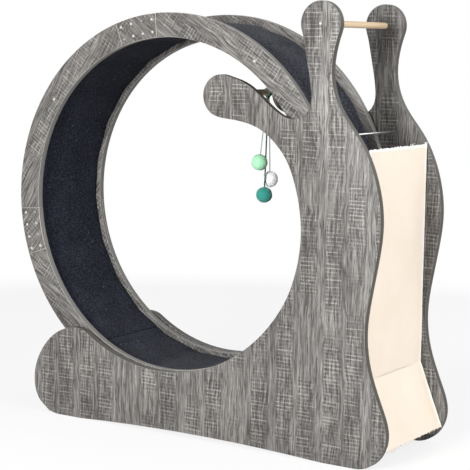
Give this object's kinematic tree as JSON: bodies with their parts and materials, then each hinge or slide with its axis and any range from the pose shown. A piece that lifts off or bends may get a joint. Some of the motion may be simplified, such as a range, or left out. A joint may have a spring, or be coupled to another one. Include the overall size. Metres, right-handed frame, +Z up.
{
  "type": "cat exercise wheel",
  "caption": "Snail-shaped cat exercise wheel: a carpeted running wheel on grooved rollers between two side panels, with a scratching surface and hanging felt balls.",
  "frame": {"origin": "middle of the footprint's bounding box, on the floor", "axes": "+X from the snail's tail to its foot and scratching surface, +Y along the wheel's axis away from the near panel, +Z up"},
  "size_m": [1.055, 0.3164, 1.018],
  "materials": {
    "panel_oak_print": "grey sawn-oak printed laminate, satin",
    "ring_oak_print": "grey sawn-oak printed laminate, satin",
    "track_carpet": "navy needle-felt carpet",
    "natural_wood": "sanded birch, bare",
    "board_core": "raw particle board",
    "scratch_cloth": "cream woven scratching cloth",
    "steel": "zinc-plated",
    "bearing_steel": "polished",
    "roller_nylon": "moulded",
    "socket_plastic": "moulded",
    "screw_white": "white cap heads",
    "light_green_felt": "wool felt",
    "dark_green_felt": "wool felt",
    "white_felt": "wool felt",
    "light_green_cord": "braided cord",
    "dark_green_cord": "braided cord",
    "grey_cord": "braided cord"
  },
  "bodies": {
    "stand": {"near_side_panel": "panel_oak_print", "far_side_panel": "panel_oak_print", "tail_axle": "steel", "foot_axle": "steel", "axle_sockets": "socket_plastic", "axle_collars": "steel", "scratch_cover": "scratch_cloth", "upper_scratch_board": "board_core", "lower_scratch_board": "board_core", "scratch_board_battens": "natural_wood", "tail_cross_board": "panel_oak_print", "foot_cross_board": "panel_oak_print", "tie_rod": "steel", "antenna_dowel": "natural_wood", "toy_dowel": "natural_wood", "dowel_screws": "steel"},
    "running_wheel": {"far_ring_segment_1": "ring_oak_print", "far_ring_segment_2": "ring_oak_print", "far_ring_segment_3": "ring_oak_print", "far_ring_segment_4": "ring_oak_print", "near_ring_segment_1": "ring_oak_print", "near_ring_segment_2": "ring_oak_print", "near_ring_segment_3": "ring_oak_print", "near_ring_segment_4": "ring_oak_print", "far_splice_plates": "ring_oak_print", "near_splice_plates": "ring_oak_print", "track_slats_1": "board_core", "track_slats_2": "board_core", "track_slats_3": "board_core", "track_slats_4": "board_core", "inner_carpet": "track_carpet", "outer_carpet": "track_carpet", "far_ring_screws": "screw_white", "near_ring_screws": "screw_white"},
    "near_tail_roller": {"near_tail_roller": "roller_nylon", "near_tail_bearings": "bearing_steel"},
    "near_foot_roller": {"near_foot_roller": "roller_nylon", "near_foot_bearings": "bearing_steel"},
    "far_tail_roller": {"far_tail_roller": "roller_nylon", "far_tail_bearings": "bearing_steel"},
    "far_foot_roller": {"far_foot_roller": "roller_nylon", "far_foot_bearings": "bearing_steel"},
    "light_green_toy": {"light_green_loop": "light_green_cord", "light_green_cord": "light_green_cord", "light_green_ball": "light_green_felt"},
    "dark_green_toy": {"dark_green_loop": "dark_green_cord", "dark_green_cord": "dark_green_cord", "dark_green_ball": "dark_green_felt"},
    "white_toy": {"white_loop": "grey_cord", "white_cord": "grey_cord", "white_ball": "white_felt"}
  },
  "joints": [
    {"name": "wheel_spin", "type": "hinge", "parent": "stand", "child": "running_wheel", "pos_m": [-0.0775, 0, 0.5425], "axis": [0, 1, 0], "continuous": true},
    {"name": "near_tail_roller_spin", "type": "hinge", "parent": "stand", "child": "near_tail_roller", "pos_m": [-0.31765, -0.124, 0.12655], "axis": [0, 1, 0], "continuous": true},
    {"name": "near_foot_roller_spin", "type": "hinge", "parent": "stand", "child": "near_foot_roller", "pos_m": [0.16265, -0.124, 0.12655], "axis": [0, 1, 0], "continuous": true},
    {"name": "far_tail_roller_spin", "type": "hinge", "parent": "stand", "child": "far_tail_roller", "pos_m": [-0.31765, 0.124, 0.12655], "axis": [0, 1, 0], "continuous": true},
    {"name": "far_foot_roller_spin", "type": "hinge", "parent": "stand", "child": "far_foot_roller", "pos_m": [0.16265, 0.124, 0.12655], "axis": [0, 1, 0], "continuous": true},
    {"name": "light_green_toy_swing", "type": "hinge", "parent": "stand", "child": "light_green_toy", "pos_m": [0.08547, 0.044, 0.80949], "axis": [0, 1, 0], "range_deg": [-70, 85]},
    {"name": "dark_green_toy_swing", "type": "hinge", "parent": "stand", "child": "dark_green_toy", "pos_m": [0.08547, 0.0497, 0.80949], "axis": [0, 1, 0], "range_deg": [-50, 85]},
    {"name": "white_toy_swing", "type": "hinge", "parent": "stand", "child": "white_toy", "pos_m": [0.08547, 0.055, 0.80949], "axis": [0, 1, 0], "range_deg": [-58, 85]}
  ],
  "couplings": [
    {"joint": "near_tail_roller_spin", "follows": "wheel_spin", "ratio": -15},
    {"joint": "near_foot_roller_spin", "follows": "wheel_spin", "ratio": -15},
    {"joint": "far_tail_roller_spin", "follows": "wheel_spin", "ratio": -15},
    {"joint": "far_foot_roller_spin", "follows": "wheel_spin", "ratio": -15}
  ]
}
